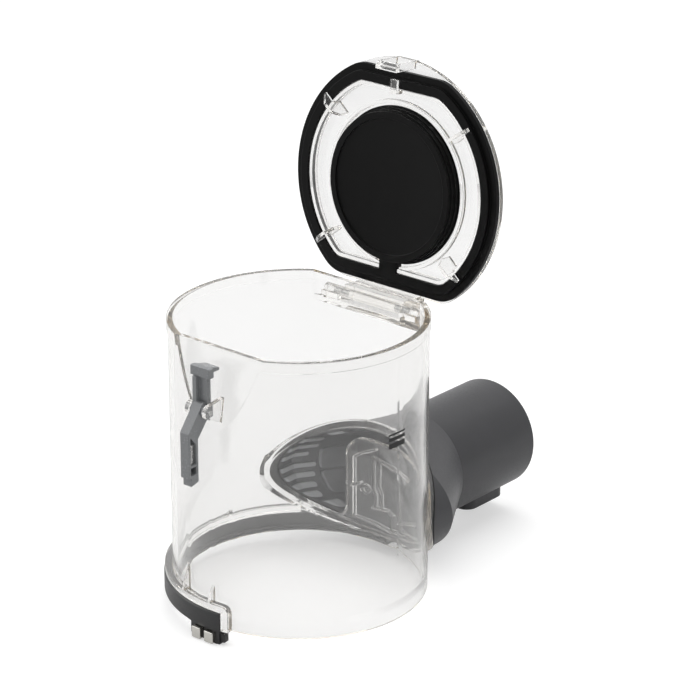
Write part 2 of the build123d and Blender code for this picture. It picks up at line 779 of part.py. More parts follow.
# Clear lid: plate, spigot, cup ring, fins, gasket clip, catch and hinge arm in one moulding
with BuildPart() as lid:
    with BuildSketch(lid_level(gasket_top)):
        add(hinge_outline(lid_radius, lid_hinge_flat))
    extrude(amount=lid_plate)
    with BuildSketch(lid_level(-spigot_drop)):
        add(spigot_outline)
        offset(amount=-spigot_wall, mode=Mode.SUBTRACT)
    extrude(amount=spigot_drop + gasket_top)
    with BuildSketch(lid_level(gasket_top)):
        Circle(cup_foot_radius + cup_ring_gap + cup_ring_wall)
        Circle(cup_foot_radius + cup_ring_gap, mode=Mode.SUBTRACT)
        add(spigot_outline, mode=Mode.INTERSECT)
    extrude(amount=-cup_ring_height)
    for angle in fin_angles:
        fin_plane = Plane(lid_frame * Location((0, 0, 0), (0, 0, angle)) * Plane.XZ.location)
        fin_foot = gasket_radius - spigot_in - spigot_wall / 2
        with BuildSketch(fin_plane):
            with BuildLine():
                Polyline(
                    (fin_inner, gasket_top),
                    (fin_inner, -fin_tip),
                    (fin_inner + fin_tip, -fin_drop),
                    (fin_foot, -fin_drop),
                    (fin_reach, -fin_tip),
                    (fin_reach, lip_face - seat_clearance),
                    (fin_foot, lip_face - seat_clearance),
                    (fin_foot, gasket_top),
                    close=True,
                )
            make_face()
        extrude(amount=fin_thickness / 2, both=True)
    with BuildSketch(lid_level(gasket_top)):
        with Locations((0, cup_radius)):
            Rectangle(
                2 * (cup_tab_half_width + seat_clearance),
                hinge_flat_y - cup_radius,
                align=(Align.CENTER, Align.MIN),
            )
    extrude(amount=-gasket_top - spigot_drop, mode=Mode.SUBTRACT)
    with BuildSketch(lid_section(-clip_half_width)):
        with Locations((spigot_in - gasket_latch_flat, gasket_top)):
            Rectangle(spigot_wall, gasket_top - lip_face + clip_depth, align=(Align.MIN, Align.MAX))
        with Locations((spigot_in - gasket_latch_flat + spigot_wall, lip_face - clip_depth)):
            Rectangle(clip_reach + spigot_wall, clip_thickness, align=(Align.MAX, Align.MIN))
    extrude(amount=2 * clip_half_width)
    with BuildSketch(lid_section(-catch_half_width)):
        with BuildLine():
            Polyline(
                (catch_inner_y, -catch_drop),
                (catch_outer_y + catch_ramp, -catch_drop),
                (catch_outer_y, catch_ramp - catch_drop),
                (catch_outer_y, lid_top),
                (catch_inner_y, lid_top),
                close=True,
            )
        make_face()
    extrude(amount=2 * catch_half_width)
    with BuildSketch(lid_section(catch_leg - catch_half_width)):
        with Locations((0, catch_bar - catch_drop)):
            Rectangle(far, catch_drop - catch_bar + gasket_top, align=(Align.MAX, Align.MIN))
        with Locations((catch_inner_y + seat_clearance, 0)):
            Rectangle(far, far, align=(Align.MIN, Align.CENTER), mode=Mode.SUBTRACT)
    extrude(amount=2 * (catch_half_width - catch_leg), mode=Mode.SUBTRACT)
    with BuildSketch(lid_section(-lid_barrel_half)):
        with Locations((hinge_y, -hinge_drop)):
            Circle(hinge_barrel_radius)
        with Locations((hinge_flat_y + side_clearance, -hinge_drop)):
            Rectangle(lid_arm_thickness, hinge_drop + lid_top, align=(Align.MIN, Align.MIN))
        with Locations((lid_hinge_flat - lid_arm_thickness, gasket_top)):
            Rectangle(2 * lid_arm_thickness, lid_plate, align=(Align.MIN, Align.MIN))
    extrude(amount=2 * lid_barrel_half)
    for side in (-1, 1):
        with BuildSketch(lid_section(side * (lid_barrel_half - hinge_pin_bite))):
            with Locations((hinge_y, -hinge_drop)):
                Circle(hinge_pin_radius + pin_clearance)
        extrude(amount=side * (hinge_pin_bite + side_clearance), mode=Mode.SUBTRACT)
lid.part.label = "lid"
export_step(lid.part, "parts/lid.step")

# Black rubber seal: rim gasket with a lip inside the mouth, centre cup, and the tab between
step_height = cup_height / cup_step_count
dish_edge = cup_radius - cup_rim_width
dish_radius = (dish_edge**2 + cup_dish**2) / (2 * cup_dish)
dish_middle_drop = dish_radius - sqrt(dish_radius**2 - dish_edge**2 / 4)
with BuildPart() as lid_seal:
    with BuildSketch(lid_level(seat_clearance)):
        add(rim_outline(gasket_radius, gasket_hinge_flat, gasket_latch_flat, gasket_corner))
        add(gasket_hole, mode=Mode.SUBTRACT)
    extrude(amount=gasket_depth)
    with BuildSketch(lid_level(lip_face)):
        add(
            rim_outline(
                gasket_radius - lip_inset,
                gasket_hinge_flat - lip_inset,
                gasket_latch_flat - lip_inset,
                gasket_corner - lip_inset,
            )
        )
        add(gasket_hole, mode=Mode.SUBTRACT)
    extrude(amount=lip_drop)
    with BuildSketch(lid_section(0)):
        with BuildLine():
            ThreePointArc(
                (0, cup_face + cup_dish),
                (dish_edge / 2, cup_face + cup_dish - dish_middle_drop),
                (dish_edge, cup_face),
            )
            outline = [
                (dish_edge, cup_face),
                (dish_edge, cup_face - cup_rim_proud),
                (cup_radius, cup_face - cup_rim_proud),
            ]
            for step in range(cup_step_count):
                height = cup_face + step * step_height
                outline.append((cup_radius + step * cup_step, height + step_height / 2))
                outline.append((cup_radius + (step + 1) * cup_step, height + step_height / 2))
            outline.append((cup_foot_radius, gasket_top))
            outline.append((cup_radius - cup_wall, gasket_top))
            outline.append((cup_radius - cup_wall, cup_face + cup_wall))
            outline.append((0, cup_face + cup_wall))
            outline.append((0, cup_face + cup_dish))
            Polyline(*outline)
        make_face()
    revolve(axis=lid_axis)
    with BuildSketch(lid_level(gasket_top)):
        with Locations((0, cup_radius)):
            Rectangle(
                2 * cup_tab_half_width,
                gasket_hinge_flat - gasket_band / 2 - cup_radius,
                align=(Align.CENTER, Align.MIN),
            )
    extrude(amount=lip_face - gasket_top)
lid_seal.part.label = "lid_seal"
export_step(lid_seal.part, "parts/lid_seal.step")

# Two short steel pins, each pressed half into an ear and half into the lid barrel
for name, side in (("hinge_pin_left", -1), ("hinge_pin_right", 1)):
    with BuildPart() as pin:
        with BuildSketch(Plane.YZ.offset(side * (lid_barrel_half - hinge_pin_bite + pin_clearance))):
            with Locations((hinge_y, hinge_z)):
                Circle(hinge_pin_radius)
        extrude(amount=side * (2 * hinge_pin_bite + side_clearance - 2 * pin_clearance))
    pin.part.label = name
    export_step(pin.part, f"parts/{name}.step")

# Grey rocker lever: hooked head, ribbed arm on the pivot, and the pad that is pressed
nose_tip_y = catch_outer_y + lever_nose_bite
rib_y = lever_arm_y - lever_rib_depth
pad_inner_y = lever_pad_y + lever_pad_depth
with BuildPart() as latch_lever:
    with BuildSketch(Plane.YZ.offset(-lever_head_half_width)):
        with Locations((lever_pivot_y, lever_head_bottom)):
            Rectangle(
                lever_arm_y - lever_pivot_y,
                lever_head_top - lever_head_bottom,
                align=(Align.MIN, Align.MIN),
            )
    extrude(amount=2 * lever_head_half_width)
    with BuildSketch(Plane.YZ.offset(-lever_nose_half_width)):
        with BuildLine():
            Polyline(
                (lever_arm_y, lever_nose_bottom),
                (nose_tip_y, lever_nose_bottom),
                (nose_tip_y, lever_nose_bottom + lever_nose_height / 2),
                (lever_arm_y, lever_head_top),
                close=True,
            )
        make_face()
    extrude(amount=2 * lever_nose_half_width)
    with BuildSketch(Plane.YZ.offset(-lever_arm_half_width)):
        with Locations((lever_arm_y, lever_plate_bottom)):
            Rectangle(
                lever_plate_thickness,
                lever_head_bottom - lever_plate_bottom,
                align=(Align.MAX, Align.MIN),
            )
        with Locations((lever_pivot_y, lever_pivot_z)):
            Circle(lever_hub_radius)
    extrude(amount=2 * lever_arm_half_width)
    with BuildSketch(Plane.YZ.offset(-lever_arm_half_width)):
        with Locations((lever_arm_y, lever_plate_bottom)):
            Rectangle(
                lever_rib_depth,
                lever_head_bottom - lever_plate_bottom,
                align=(Align.MAX, Align.MIN),
            )
    extrude(amount=lever_rib_width)
    with BuildSketch(Plane.YZ.offset(-lever_pad_half_width)):
        with BuildLine():
            Polyline(
                (lever_arm_y, lever_bend_top),
                (rib_y, lever_bend_top),
                (lever_pad_y, lever_pad_top),
                (lever_pad_y, lever_pad_bottom),
                (lever_pad_y + lever_skin, lever_pad_bottom),
                (lever_pad_y + lever_skin, lever_pad_bottom - lever_toe),
                (pad_inner_y, lever_pad_bottom - lever_toe + lever_skin),
                (pad_inner_y, lever_pad_top - lever_toe),
                (lever_arm_y, lever_plate_bottom),
                close=True,
            )
        make_face()
        with BuildLine():
            Polyline(
                (lever_pad_y + lever_skin, lever_slot_bottom),
                (pad_inner_y - lever_skin, lever_slot_bottom),
                (pad_inner_y - lever_skin, lever_slot_top - lever_toe),
                (lever_pad_y + lever_skin, lever_slot_top),
                close=True,
            )
        make_face(mode=Mode.SUBTRACT)
        with Locations((lever_pad_y + lever_skin, lever_pad_bottom + lever_window_rise)):
            Rectangle(
                lever_pad_depth - 2 * lever_skin,
                lever_window_height,
                align=(Align.MIN, Align.MIN),
                mode=Mode.SUBTRACT,
            )
    extrude(amount=2 * lever_pad_half_width)
    with BuildSketch(Plane.YZ.offset(-lever_pad_half_width)):
        with Locations((lever_pad_y + lever_skin / 2, lever_pad_bottom)):
            Rectangle(
                lever_pad_depth - lever_skin,
                lever_slot_top - lever_toe - lever_pad_bottom,
                align=(Align.MIN, Align.MIN),
            )
    extrude(amount=lever_skin)
    with BuildSketch(Plane.YZ):
        with Locations((lever_pivot_y, lever_pivot_z)):
            Circle(lever_pin_radius + pin_clearance)
    extrude(amount=lever_head_half_width, both=True, mode=Mode.SUBTRACT)
latch_lever.part.label = "latch_lever"
export_step(latch_lever.part, "parts/latch_lever.step")

# Steel pivot pin of the lever
with BuildPart() as latch_pin:
    with BuildSketch(Plane.YZ):
        with Locations((lever_pivot_y, lever_pivot_z)):
            Circle(lever_pin_radius)
    extrude(amount=cheek_start + cheek_thickness, both=True)
latch_pin.part.label = "latch_pin"
export_step(latch_pin.part, "parts/latch_pin.step")

# Steel leaf spring that lies in the slot of the pad
spring_length = lever_slot_top - lever_toe - lever_slot_bottom - 2 * pin_clearance
with BuildPart() as latch_spring:
    with BuildSketch(Plane.YZ.offset(spring_gap)):
        with Locations((pad_inner_y - lever_skin - pin_clearance, lever_slot_bottom + pin_clearance)):
            Rectangle(spring_width, spring_length, align=(Align.MAX, Align.MIN))
    extrude(amount=-spring_thickness)
latch_spring.part.label = "latch_spring"
export_step(latch_spring.part, "parts/latch_spring.step")
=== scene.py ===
import math

import bmesh
import bpy
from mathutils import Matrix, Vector
from mathutils.kdtree import KDTree


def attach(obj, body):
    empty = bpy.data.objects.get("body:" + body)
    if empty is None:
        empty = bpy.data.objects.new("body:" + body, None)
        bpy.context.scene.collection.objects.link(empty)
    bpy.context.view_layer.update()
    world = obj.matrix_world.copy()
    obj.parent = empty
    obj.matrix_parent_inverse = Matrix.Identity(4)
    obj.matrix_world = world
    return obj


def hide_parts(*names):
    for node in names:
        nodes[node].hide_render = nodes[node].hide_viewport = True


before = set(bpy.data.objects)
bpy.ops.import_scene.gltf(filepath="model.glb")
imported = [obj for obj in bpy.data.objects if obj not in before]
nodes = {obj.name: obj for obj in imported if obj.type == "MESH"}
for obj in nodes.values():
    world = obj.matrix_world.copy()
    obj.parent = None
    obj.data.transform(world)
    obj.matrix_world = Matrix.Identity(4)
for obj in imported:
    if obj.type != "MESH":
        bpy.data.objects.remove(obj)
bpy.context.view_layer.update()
MM = 0.001

# Clear bin. One shot of clear styrene-acrylonitrile, injection moulded and polished, with the
# rim, the hinge ears, the latch lugs, the inlet flange and the base border moulded on.


def linear(hex_colour):
    """Linear RGBA of an sRGB hex colour."""
    parts = [int(hex_colour[i : i + 2], 16) / 255 for i in (1, 3, 5)]
    return (*(p / 12.92 if p <= 0.04045 else ((p + 0.055) / 1.055) ** 2.4 for p in parts), 1.0)


def add_node(tree, kind, inputs=(), **settings):
    """Adds a node, sets it up, and sets or links its inputs."""
    node = tree.nodes.new(kind)
    for name, value in settings.items():
        setattr(node, name, value)
    for name, value in dict(inputs).items():
        if isinstance(value, bpy.types.NodeSocket):
            tree.links.new(value, node.inputs[name])
        else:
            node.inputs[name].default_value = value
    return node


def start_material(name):
    """A material with an empty node tree."""
    made = bpy.data.materials.new(name)
    made.use_nodes = True
    made.node_tree.nodes.clear()
    return made, made.node_tree


def dress(name, material):
    """Gives a CAD node its finish."""
    nodes[name].data.materials.clear()
    nodes[name].data.materials.append(material)


# Clear SAN: colourless through the wall, and straw coloured where light runs along it.
clear_san, tree = start_material("clear_SAN")
place = add_node(tree, "ShaderNodeTexCoord")
upright = add_node(tree, "ShaderNodeMapping", {"Vector": place.outputs["Object"], "Scale": (1.0, 1.0, 0.12)})
flow = add_node(
    tree, "ShaderNodeTexNoise", {"Vector": upright.outputs[0], "Scale": 1 / (16 * MM), "Detail": 1.0}
)
ripple = add_node(
    tree, "ShaderNodeBump", {"Strength": 0.05, "Distance": 0.6 * MM, "Height": flow.outputs["Fac"]}
)
clear = add_node(
    tree,
    "ShaderNodeBsdfPrincipled",
    {
        "Base Color": linear("#f9f9f9"),
        "Roughness": 0.02,
        "IOR": 1.5,
        "Transmission Weight": 0.97,
        "Normal": ripple.outputs["Normal"],
    },
)
passing = add_node(tree, "ShaderNodeBsdfTransparent", {"Color": linear("#f6f6f6")})
path = add_node(tree, "ShaderNodeLightPath")
either = add_node(
    tree,
    "ShaderNodeMixShader",
    {0: path.outputs["Is Shadow Ray"], 1: clear.outputs[0], 2: passing.outputs[0]},
)
depth = add_node(tree, "ShaderNodeVolumeAbsorption", {"Color": linear("#f3e6cc"), "Density": 11.0})
add_node(tree, "ShaderNodeOutputMaterial", {"Surface": either.outputs[0], "Volume": depth.outputs[0]})

WELD_GAP = 0.002 * MM
SHARPEST_SMOOTH_TURN = math.radians(40)
SHORTEST_EDGE = 3.0
NARROWEST_FACE = 1.2
NORMAL_REACH = 1.6
NORMAL_MATCH = 0.94


def rounded_copy(name, material, radius, body, inset=0.0):
    """Stands in for a CAD node, with its long sharp edges rounded over as a mould leaves them.

    An inset draws the skin in by a hair, so that it doesn't share a face with the piece it touches.
    """
    source = nodes[name].data
    known = KDTree(len(source.vertices))
    for vertex in source.vertices:
        known.insert(vertex.co, vertex.index)
    known.balance()
    facing = [Vector(corner.vector) for corner in source.vertex_normals]
    shape = bmesh.new()
    shape.from_mesh(source)
    bmesh.ops.remove_doubles(shape, verts=shape.verts, dist=WELD_GAP)
    shape.normal_update()
    for vertex in shape.verts:
        vertex.co -= inset * vertex.normal
    sharp = [
        edge
        for edge in shape.edges
        if edge.is_manifold
        and edge.calc_face_angle() > SHARPEST_SMOOTH_TURN
        and edge.calc_length() > SHORTEST_EDGE * radius
        and min(face.calc_area() for face in edge.link_faces) > NARROWEST_FACE * radius * edge.calc_length()
    ]
    edges = bmesh.ops.bevel(
        shape,
        geom=sharp,
        offset=radius,
        offset_type="OFFSET",
        segments=2,
        profile=0.5,
        affect="EDGES",
        clamp_overlap=False,
        loop_slide=True,
        material=-1,
    )
    mesh = bpy.data.meshes.new(name + "_rounded")
    shape.faces.index_update()
    rounds = {face.index for face in edges["faces"]}
    shape.to_mesh(mesh)
    shape.free()
    mesh.shade_smooth()
    corner_normal = [None] * len(mesh.loops)
    settled = {}
    for face in mesh.polygons:
        if face.index in rounds:
            continue
        for corner in face.loop_indices:
            spot = mesh.loops[corner].vertex_index
            best, fit = face.normal, NORMAL_MATCH
            for _, index, _ in known.find_range(mesh.vertices[spot].co, NORMAL_REACH * radius):
                match = facing[index].dot(face.normal)
                if match > fit:
                    best, fit = facing[index], match
            corner_normal[corner] = best
            settled.setdefault(spot, []).append(best)
    for face in mesh.polygons:
        if face.index not in rounds:
            continue
        for corner in face.loop_indices:
            spot = mesh.loops[corner].vertex_index
            choices = settled.get(spot)
            corner_normal[corner] = (
                max(choices, key=face.normal.dot) if choices else Vector(mesh.vertex_normals[spot].vector)
            )
    mesh.normals_split_custom_set(corner_normal)
    mesh.materials.append(material)
    piece = bpy.data.objects.new(name + "_rounded", mesh)
    bpy.context.scene.collection.objects.link(piece)
    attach(piece, body)
    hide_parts(name)


rounded_copy("bin_body", clear_san, 0.25 * MM, "bin")

# Fill mark. Three bars of black pad-printing ink on the outside of the wall, thin to thick going
# down, where the dust should stop.

# Print ink: flat black with a faint screen grain, duller than the polished wall under it.
ink, tree = start_material("black_print_ink")
place = add_node(tree, "ShaderNodeTexCoord")
screen = add_node(
    tree, "ShaderNodeTexNoise", {"Vector": place.outputs["Object"], "Scale": 1 / (0.4 * MM), "Detail": 2.0}
)
tone = add_node(
    tree,
    "ShaderNodeMix",
    {"Factor": screen.outputs["Fac"], "A": linear("#0c0c0c"), "B": linear("#1d1d1d")},
    data_type="RGBA",
)
print_coat = add_node(
    tree, "ShaderNodeBsdfPrincipled", {"Base Color": tone.outputs["Result"], "Roughness": 0.55}
)
add_node(tree, "ShaderNodeOutputMaterial", {"Surface": print_coat.outputs[0]})

mark_sizes = {
    "Radius": 54.51 * MM,
    "Length": 9.9 * MM,
    "Middle Angle": math.radians(-1.4),
    "Top": 85.5 * MM,
    "Thinnest": 0.7 * MM,
    "Growth": 0.8 * MM,
    "Gap": 1.0 * MM,
    "Ink": 0.03 * MM,
}
mark_tree = bpy.data.node_groups.new("fill_mark", "GeometryNodeTree")
for name in mark_sizes:
    mark_tree.interface.new_socket(name, in_out="INPUT", socket_type="NodeSocketFloat")
mark_tree.interface.new_socket("Geometry", in_out="OUTPUT", socket_type="NodeSocketGeometry")
sizes = add_node(mark_tree, "NodeGroupInput").outputs
rows = add_node(mark_tree, "GeometryNodeMeshLine", {"Count": 3, "Offset": (0.0, 0.0, 0.0)})
index = add_node(mark_tree, "GeometryNodeInputIndex")
tall = add_node(
    mark_tree,
    "ShaderNodeMath",
    {0: index.outputs[0], 1: sizes["Growth"], 2: sizes["Thinnest"]},
    operation="MULTIPLY_ADD",
)
# The bars above have a mean height of Thinnest + Growth * (index - 1) / 2.
mean_step = add_node(
    mark_tree, "ShaderNodeMath", {0: index.outputs[0], 1: 0.5, 2: -0.5}, operation="MULTIPLY_ADD"
)
mean_tall = add_node(
    mark_tree,
    "ShaderNodeMath",
    {0: mean_step.outputs[0], 1: sizes["Growth"], 2: sizes["Thinnest"]},
    operation="MULTIPLY_ADD",
)
pitch = add_node(mark_tree, "ShaderNodeMath", {0: mean_tall.outputs[0], 1: sizes["Gap"]}, operation="ADD")
above = add_node(
    mark_tree, "ShaderNodeMath", {0: index.outputs[0], 1: pitch.outputs[0]}, operation="MULTIPLY"
)
drop = add_node(
    mark_tree, "ShaderNodeMath", {0: tall.outputs[0], 1: 0.5, 2: above.outputs[0]}, operation="MULTIPLY_ADD"
)
level = add_node(mark_tree, "ShaderNodeMath", {0: sizes["Top"], 1: drop.outputs[0]}, operation="SUBTRACT")
spot = add_node(mark_tree, "ShaderNodeCombineXYZ", {"Y": level.outputs[0]})
rows = add_node(
    mark_tree, "GeometryNodeSetPosition", {"Geometry": rows.outputs[0], "Position": spot.outputs[0]}
)
bar = add_node(
    mark_tree,
    "GeometryNodeMeshGrid",
    {"Size X": sizes["Length"], "Size Y": 1.0, "Vertices X": 17, "Vertices Y": 2},
)
stretch = add_node(mark_tree, "ShaderNodeCombineXYZ", {"X": 1.0, "Y": tall.outputs[0], "Z": 1.0})
bars = add_node(
    mark_tree,
    "GeometryNodeInstanceOnPoints",
    {"Points": rows.outputs[0], "Instance": bar.outputs[0], "Scale": stretch.outputs[0]},
)
flat = add_node(mark_tree, "GeometryNodeRealizeInstances", {"Geometry": bars.outputs[0]})
at = add_node(mark_tree, "GeometryNodeInputPosition")
across = add_node(mark_tree, "ShaderNodeSeparateXYZ", {0: at.outputs[0]})
turn = add_node(mark_tree, "ShaderNodeMath", {0: across.outputs["X"], 1: sizes["Radius"]}, operation="DIVIDE")
turn = add_node(mark_tree, "ShaderNodeMath", {0: turn.outputs[0], 1: sizes["Middle Angle"]}, operation="ADD")
out_x = add_node(mark_tree, "ShaderNodeMath", {0: turn.outputs[0]}, operation="COSINE")
out_x = add_node(mark_tree, "ShaderNodeMath", {0: out_x.outputs[0], 1: sizes["Radius"]}, operation="MULTIPLY")
out_y = add_node(mark_tree, "ShaderNodeMath", {0: turn.outputs[0]}, operation="SINE")
out_y = add_node(mark_tree, "ShaderNodeMath", {0: out_y.outputs[0], 1: sizes["Radius"]}, operation="MULTIPLY")
wrapped = add_node(
    mark_tree,
    "ShaderNodeCombineXYZ",
    {"X": out_x.outputs[0], "Y": out_y.outputs[0], "Z": across.outputs["Y"]},
)
curved = add_node(
    mark_tree, "GeometryNodeSetPosition", {"Geometry": flat.outputs[0], "Position": wrapped.outputs[0]}
)
coat = add_node(
    mark_tree,
    "GeometryNodeExtrudeMesh",
    {"Mesh": curved.outputs[0], "Offset Scale": sizes["Ink"], "Individual": False},
)
under = add_node(mark_tree, "GeometryNodeFlipFaces", {"Mesh": curved.outputs[0]})
joined = add_node(mark_tree, "GeometryNodeJoinGeometry")
for side in (coat, under):
    mark_tree.links.new(side.outputs[0], joined.inputs[0])
shut = add_node(
    mark_tree, "GeometryNodeMergeByDistance", {"Geometry": joined.outputs[0], "Distance": 0.001 * MM}
)
inked = add_node(mark_tree, "GeometryNodeSetMaterial", {"Geometry": shut.outputs[0], "Material": ink})
add_node(mark_tree, "NodeGroupOutput", {0: inked.outputs[0]})

fill_mark = bpy.data.objects.new("fill_mark", bpy.data.meshes.new("fill_mark"))
bpy.context.scene.collection.objects.link(fill_mark)
maker = fill_mark.modifiers.new("fill_mark", "NODES")
maker.node_group = mark_tree
for item in mark_tree.interface.items_tree:
    if item.in_out == "INPUT":
        maker[item.identifier] = mark_sizes[item.name]


def freeze(piece):
    """Turns a piece's modifiers into plain mesh."""
    settled = piece.evaluated_get(bpy.context.evaluated_depsgraph_get())
    made = bpy.data.meshes.new_from_object(settled)
    piece.modifiers.clear()
    piece.data = made


freeze(fill_mark)
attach(fill_mark, "bin")

# Duct seal. A die-cut ring of black nitrile rubber, squeezed between the flange of the bin and
# the saddle of the duct.

# Nitrile rubber: deep black with a weak, slightly cloudy sheen.
nitrile, tree = start_material("black_nitrile_rubber")
place = add_node(tree, "ShaderNodeTexCoord")
bloom = add_node(
    tree, "ShaderNodeTexNoise", {"Vector": place.outputs["Object"], "Scale": 1 / (9 * MM), "Detail": 4.0}
)
tone = add_node(
    tree,
    "ShaderNodeMix",
    {"Factor": bloom.outputs["Fac"], "A": linear("#070707"), "B": linear("#0d0d0d")},
    data_type="RGBA",
)
gloss = add_node(
    tree,
    "ShaderNodeMapRange",
    {"Value": bloom.outputs["Fac"], "From Min": 0.3, "From Max": 0.7, "To Min": 0.34, "To Max": 0.5},
)
grain = add_node(
    tree, "ShaderNodeTexNoise", {"Vector": place.outputs["Object"], "Scale": 1 / (0.7 * MM), "Detail": 2.0}
)
skin = add_node(
    tree, "ShaderNodeBump", {"Strength": 0.15, "Distance": 0.05 * MM, "Height": grain.outputs["Fac"]}
)
rubber = add_node(
    tree,
    "ShaderNodeBsdfPrincipled",
    {
        "Base Color": tone.outputs["Result"],
        "Roughness": gloss.outputs["Result"],
        "IOR": 1.52,
        "Specular IOR Level": 0.12,
        "Normal": skin.outputs["Normal"],
    },
)
add_node(tree, "ShaderNodeOutputMaterial", {"Surface": rubber.outputs[0]})
dress("duct_seal", nitrile)

# Inlet duct. Grey ABS, injection moulded in a lightly spark-eroded tool, so the outside is satin
# with a very fine even grain. It is welded to the flange of the bin.


def moulded_abs(name, dark, pale, roughness, grain_mm):
    """Satin ABS with a fine eroded grain, a little uneven in tone."""
    made, tree = start_material(name)
    place = add_node(tree, "ShaderNodeTexCoord")
    cloud = add_node(
        tree, "ShaderNodeTexNoise", {"Vector": place.outputs["Object"], "Scale": 1 / (14 * MM), "Detail": 3.0}
    )
    tone = add_node(
        tree,
        "ShaderNodeMix",
        {"Factor": cloud.outputs["Fac"], "A": linear(dark), "B": linear(pale)},
        data_type="RGBA",
    )
    grain = add_node(
        tree,
        "ShaderNodeTexNoise",
        {"Vector": place.outputs["Object"], "Scale": 1 / (grain_mm * MM), "Detail": 2.0},
    )
    gloss = add_node(
        tree,
        "ShaderNodeMapRange",
        {
            "Value": grain.outputs["Fac"],
            "From Min": 0.3,
            "From Max": 0.7,
            "To Min": roughness - 0.05,
            "To Max": roughness + 0.05,
        },
    )
    skin = add_node(
        tree, "ShaderNodeBump", {"Strength": 0.25, "Distance": 0.06 * MM, "Height": grain.outputs["Fac"]}
    )
    shell = add_node(
        tree,
        "ShaderNodeBsdfPrincipled",
        {
            "Base Color": tone.outputs["Result"],
            "Roughness": gloss.outputs["Result"],
            "IOR": 1.53,
            "Normal": skin.outputs["Normal"],
        },
    )
    add_node(tree, "ShaderNodeOutputMaterial", {"Surface": shell.outputs[0]})
    return made


# Grey ABS: an even satin grey. The crests of the fins and pads inside the flare are painted paler, a painted
# highlight for the light their glossy edges would catch.
duct_abs = moulded_abs("grey_ABS", "#333336", "#3b3b3e", 0.36, 0.8)
tree = duct_abs.node_tree
shell = tree.nodes["Principled BSDF"]
tone = shell.inputs["Base Color"].links[0].from_socket
place = add_node(tree, "ShaderNodeTexCoord")
axes = add_node(tree, "ShaderNodeSeparateXYZ", {0: place.outputs["Object"]})
flare_start, flare_end = 45.0 * MM, 80.0 * MM
mouth_half_width, mouth_half_height, mouth_middle = 44.7 * MM, 23.5 * MM, 28.8 * MM
throat_radius, throat_middle = 20.7 * MM, 27.8 * MM
pad_start, pad_blend = 54.5 * MM, 1.5 * MM
flare = {"Value": axes.outputs["Y"], "From Min": flare_start, "From Max": flare_end}
half_width = add_node(
    tree, "ShaderNodeMapRange", {**flare, "To Min": mouth_half_width, "To Max": throat_radius}
)
half_height = add_node(
    tree, "ShaderNodeMapRange", {**flare, "To Min": mouth_half_height, "To Max": throat_radius}
)
middle = add_node(tree, "ShaderNodeMapRange", {**flare, "To Min": mouth_middle, "To Max": throat_middle})
rise = add_node(tree, "ShaderNodeMath", {0: axes.outputs["Z"], 1: middle.outputs[0]}, operation="SUBTRACT")
across = add_node(
    tree, "ShaderNodeMath", {0: axes.outputs["X"], 1: half_width.outputs[0]}, operation="DIVIDE"
)
upward = add_node(
    tree, "ShaderNodeMath", {0: rise.outputs[0], 1: half_height.outputs[0]}, operation="DIVIDE"
)
oval = add_node(tree, "ShaderNodeCombineXYZ", {"X": across.outputs[0], "Y": upward.outputs[0]})
reach = add_node(tree, "ShaderNodeVectorMath", {0: oval.outputs[0]}, operation="LENGTH")
# Mask of the fin and pad crests inside the flare, where the painted highlight goes.
crest = add_node(
    tree,
    "ShaderNodeMapRange",
    {"Value": reach.outputs["Value"], "From Min": 0.992, "From Max": 0.98, "To Min": 0.0, "To Max": 1.0},
)
is_pad = add_node(
    tree,
    "ShaderNodeMapRange",
    {
        "Value": axes.outputs["Y"],
        "From Min": pad_start,
        "From Max": pad_start + pad_blend,
        "To Min": 0.0,
        "To Max": 1.0,
    },
)
# Painted highlight: fin crests pale grey and pad crests a lighter grey than the duct, standing in for light
# caught on their edges.
painted_crest_highlight = add_node(
    tree,
    "ShaderNodeMix",
    {"Factor": is_pad.outputs[0], "A": linear("#9a9c9e"), "B": linear("#58595c")},
    data_type="RGBA",
)
tone_with_painted_highlight = add_node(
    tree,
    "ShaderNodeMix",
    {"Factor": crest.outputs[0], "A": tone, "B": painted_crest_highlight.outputs["Result"]},
    data_type="RGBA",
)
tree.links.new(tone_with_painted_highlight.outputs["Result"], shell.inputs["Base Color"])
dress("inlet_duct", duct_abs)

# Wire cover. Dark grey ABS ring round part of the base, clipped under the clear border. It hides
# the two wires and carries the tongue with the contacts.

# Dark grey ABS: the satin of the duct, nearly black.
cover_abs = moulded_abs("dark_grey_ABS", "#202021", "#272728", 0.4, 0.8)
rounded_copy("wire_cover", cover_abs, 0.3 * MM, "bin")

# Contacts and plug pins. Stamped brass, nickel plated. The contacts are pressed into the tongue of
# the cover, and the pins into the plug block.

# Nickel plate: a bright, faintly warm metal with a shine that handling has left uneven.
nickel, tree = start_material("nickel_plate")
place = add_node(tree, "ShaderNodeTexCoord")
handling = add_node(
    tree, "ShaderNodeTexNoise", {"Vector": place.outputs["Object"], "Scale": 1 / (1.5 * MM), "Detail": 3.0}
)
gloss = add_node(
    tree,
    "ShaderNodeMapRange",
    {"Value": handling.outputs["Fac"], "From Min": 0.3, "From Max": 0.7, "To Min": 0.12, "To Max": 0.26},
)
plate = add_node(
    tree,
    "ShaderNodeBsdfPrincipled",
    {"Base Color": linear("#d8d6d0"), "Metallic": 1.0, "Roughness": gloss.outputs["Result"]},
)
add_node(tree, "ShaderNodeOutputMaterial", {"Surface": plate.outputs[0]})
for name in ("contact_left", "contact_right", "socket_pin_left", "socket_pin_right"):
    dress(name, nickel)

# Wires and plug block. Two black wires that lie in the groove of the cover, and the black nylon
# block that ends them, pushed into the keyway under the tube.

# Black nylon: a dull black with a fine grain.
black_nylon = moulded_abs("black_nylon", "#121213", "#1a1a1b", 0.45, 0.8)
for name in ("wire_left", "wire_right", "socket_block"):
    dress(name, black_nylon)

# Lid. The same clear SAN as the bin, in one shot with its spigot, ring, fins, clip and catch. It
# swings on two steel pins at the back of the rim.

rounded_copy("lid", clear_san, 0.25 * MM, "lid")

